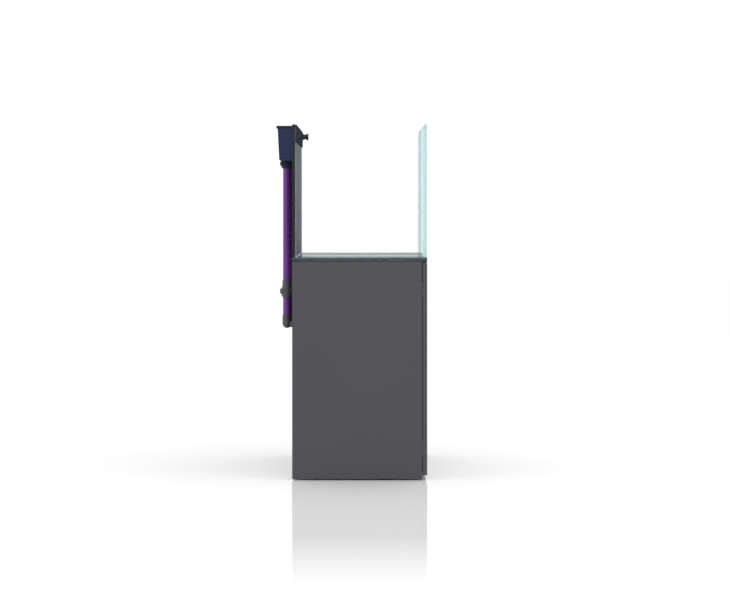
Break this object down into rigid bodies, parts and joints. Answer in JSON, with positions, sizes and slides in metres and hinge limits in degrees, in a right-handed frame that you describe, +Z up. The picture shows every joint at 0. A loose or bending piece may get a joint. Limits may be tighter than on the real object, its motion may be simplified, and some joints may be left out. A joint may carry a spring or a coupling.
{
  "type": "aquarium on stand",
  "caption": "Rimless glass aquarium on a flat-panel cabinet stand, with an external rear overflow box, drain and return pipes, push-to-open doors and levelling feet.",
  "frame": {"origin": "on the floor, under the centre of the whole object's bounding box", "axes": "+Z up, doors face -Y, overflow box and pipes behind at +Y, left side at -X"},
  "size_m": [0.9, 0.623, 1.462],
  "materials": {
    "lacquered_board": "satin grey lacquer",
    "clear_glass": "polished low-iron glass",
    "foam_rubber": "closed-cell foam",
    "silicone": "clear sealant",
    "navy_acrylic": "polished cast acrylic",
    "black_plastic": "moulded, satin",
    "purple_pvc": "extruded pipe",
    "grey_pvc": "moulded fitting",
    "nickel_plate": "nickel-plated pressed steel"
  },
  "bodies": {
    "root": {"left_side_panel": "lacquered_board", "right_side_panel": "lacquered_board", "base_panel": "lacquered_board", "top_panel": "lacquered_board", "back_left_panel": "lacquered_board", "back_right_panel": "lacquered_board", "back_top_rail": "lacquered_board", "front_rail": "lacquered_board", "latch_housing": "black_plastic", "foam_mat": "foam_rubber", "bottom_pane": "clear_glass", "front_pane": "clear_glass", "rear_pane": "clear_glass", "left_pane": "clear_glass", "right_pane": "clear_glass", "silicone_seam": "silicone", "box_floor": "navy_acrylic", "box_rear_wall": "navy_acrylic", "box_left_end": "navy_acrylic", "box_right_end": "navy_acrylic", "return_riser": "grey_pvc", "nozzle_collar": "black_plastic", "left_lower_hinge_arm": "nickel_plate", "left_upper_hinge_arm": "nickel_plate", "right_lower_hinge_arm": "nickel_plate", "right_upper_hinge_arm": "nickel_plate", "drain_bulkhead": "grey_pvc", "drain_bulkhead_nut": "grey_pvc", "drain_upper_pipe": "purple_pvc", "drain_union_body": "grey_pvc", "drain_union_tail": "grey_pvc", "drain_lower_pipe": "purple_pvc", "drain_elbow": "grey_pvc", "return_bulkhead": "grey_pvc", "return_bulkhead_nut": "grey_pvc", "return_upper_pipe": "purple_pvc", "return_union_body": "grey_pvc", "return_union_tail": "grey_pvc", "return_lower_pipe": "purple_pvc", "return_elbow": "grey_pvc"},
    "left_door": {"left_door": "lacquered_board", "left_lower_hinge_cup": "nickel_plate", "left_upper_hinge_cup": "nickel_plate"},
    "left_latch_plunger": {"left_latch_plunger": "black_plastic"},
    "right_door": {"right_door": "lacquered_board", "right_lower_hinge_cup": "nickel_plate", "right_upper_hinge_cup": "nickel_plate"},
    "right_latch_plunger": {"right_latch_plunger": "black_plastic"},
    "lid": {"box_lid": "navy_acrylic", "lid_knob": "black_plastic"},
    "weir_comb": {"weir_comb": "black_plastic"},
    "return_nozzle": {"return_nozzle": "black_plastic"},
    "drain_union_nut": {"drain_union_nut": "grey_pvc"},
    "return_union_nut": {"return_union_nut": "grey_pvc"},
    "left_front_foot": {"left_front_foot": "black_plastic"},
    "left_middle_foot": {"left_middle_foot": "black_plastic"},
    "left_rear_foot": {"left_rear_foot": "black_plastic"},
    "right_front_foot": {"right_front_foot": "black_plastic"},
    "right_middle_foot": {"right_middle_foot": "black_plastic"},
    "right_rear_foot": {"right_rear_foot": "black_plastic"}
  },
  "joints": [
    {"name": "left_door_hinge", "type": "hinge", "parent": "root", "child": "left_door", "pos_m": [-0.447, -0.3085, 0.4535], "axis": [0, 0, -1], "range_deg": [0, 105]},
    {"name": "left_latch_push", "type": "slide", "parent": "root", "child": "left_latch_plunger", "axis": [0, -1, 0], "range_m": [0, 0.012]},
    {"name": "right_door_hinge", "type": "hinge", "parent": "root", "child": "right_door", "pos_m": [0.447, -0.3085, 0.4535], "axis": [0, 0, 1], "range_deg": [0, 105]},
    {"name": "right_latch_push", "type": "slide", "parent": "root", "child": "right_latch_plunger", "axis": [0, -1, 0], "range_m": [0, 0.012]},
    {"name": "lid_lift", "type": "slide", "parent": "root", "child": "lid", "axis": [0, 0, 1], "range_m": [0, 0.12]},
    {"name": "comb_lift", "type": "slide", "parent": "root", "child": "weir_comb", "axis": [0, 0, 1], "range_m": [0, 0.075]},
    {"name": "nozzle_swivel", "type": "hinge", "parent": "root", "child": "return_nozzle", "pos_m": [0.11, 0.207, 1.417], "axis": [0, 0, 1], "range_deg": [-25, 25]},
    {"name": "drain_nut_turn", "type": "hinge", "parent": "root", "child": "drain_union_nut", "pos_m": [-0.11, 0.2718, 0.757], "axis": [0, 0, 1], "range_deg": [0, 360]},
    {"name": "return_nut_turn", "type": "hinge", "parent": "root", "child": "return_union_nut", "pos_m": [0.11, 0.2718, 0.757], "axis": [0, 0, 1], "range_deg": [0, 360]},
    {"name": "left_front_foot_turn", "type": "hinge", "parent": "root", "child": "left_front_foot", "pos_m": [-0.441, -0.2185, 0], "axis": [0, 0, 1], "range_deg": [0, 360]},
    {"name": "left_middle_foot_turn", "type": "hinge", "parent": "root", "child": "left_middle_foot", "pos_m": [-0.441, -0.026, 0], "axis": [0, 0, 1], "range_deg": [0, 360]},
    {"name": "left_rear_foot_turn", "type": "hinge", "parent": "root", "child": "left_rear_foot", "pos_m": [-0.441, 0.1665, 0], "axis": [0, 0, 1], "range_deg": [0, 360]},
    {"name": "right_front_foot_turn", "type": "hinge", "parent": "root", "child": "right_front_foot", "pos_m": [0.441, -0.2185, 0], "axis": [0, 0, 1], "range_deg": [0, 360]},
    {"name": "right_middle_foot_turn", "type": "hinge", "parent": "root", "child": "right_middle_foot", "pos_m": [0.441, -0.026, 0], "axis": [0, 0, 1], "range_deg": [0, 360]},
    {"name": "right_rear_foot_turn", "type": "hinge", "parent": "root", "child": "right_rear_foot", "pos_m": [0.441, 0.1665, 0], "axis": [0, 0, 1], "range_deg": [0, 360]}
  ],
  "couplings": [
    {"joint": "left_latch_push", "follows": "left_door_hinge", "m_per_rad": 0.0065},
    {"joint": "right_latch_push", "follows": "right_door_hinge", "m_per_rad": 0.0065}
  ]
}
